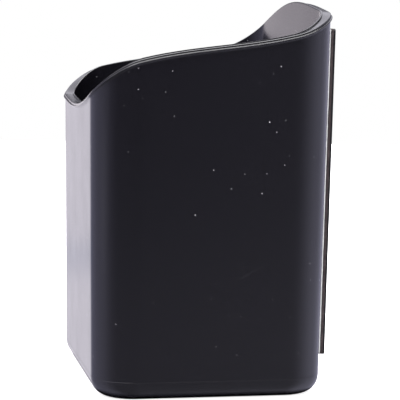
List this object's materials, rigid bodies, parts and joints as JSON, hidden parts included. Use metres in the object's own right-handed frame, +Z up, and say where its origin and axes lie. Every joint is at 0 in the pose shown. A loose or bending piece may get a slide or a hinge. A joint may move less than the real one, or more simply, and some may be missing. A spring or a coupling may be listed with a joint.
{
  "type": "desk cup holder",
  "caption": "Tall rounded rectangular desk cup with a raked rim, open at the top, with a flat magnet sheet bonded to its back so that it can hang on a steel panel.",
  "frame": {"origin": "middle of the cup's flat base, on the surface that the cup stands on", "axes": "+Z up along the cup, +X towards the back, where the magnet sheet is, +Y to the side, across the cup's width"},
  "size_m": [0.0811, 0.1026, 0.1298],
  "materials": {
    "cup_plastic": "moulded, polished, with fine dust and light scratches",
    "tape_foam": "matte white foam with adhesive on both faces",
    "magnet_rubber": "matte cut edge, ferrite filled",
    "film": "satin vinyl film"
  },
  "bodies": {
    "root": {"cup_shell": "cup_plastic", "bonding_tape": "tape_foam", "magnet_sheet": "magnet_rubber", "facing_film": "film"}
  },
  "joints": []
}
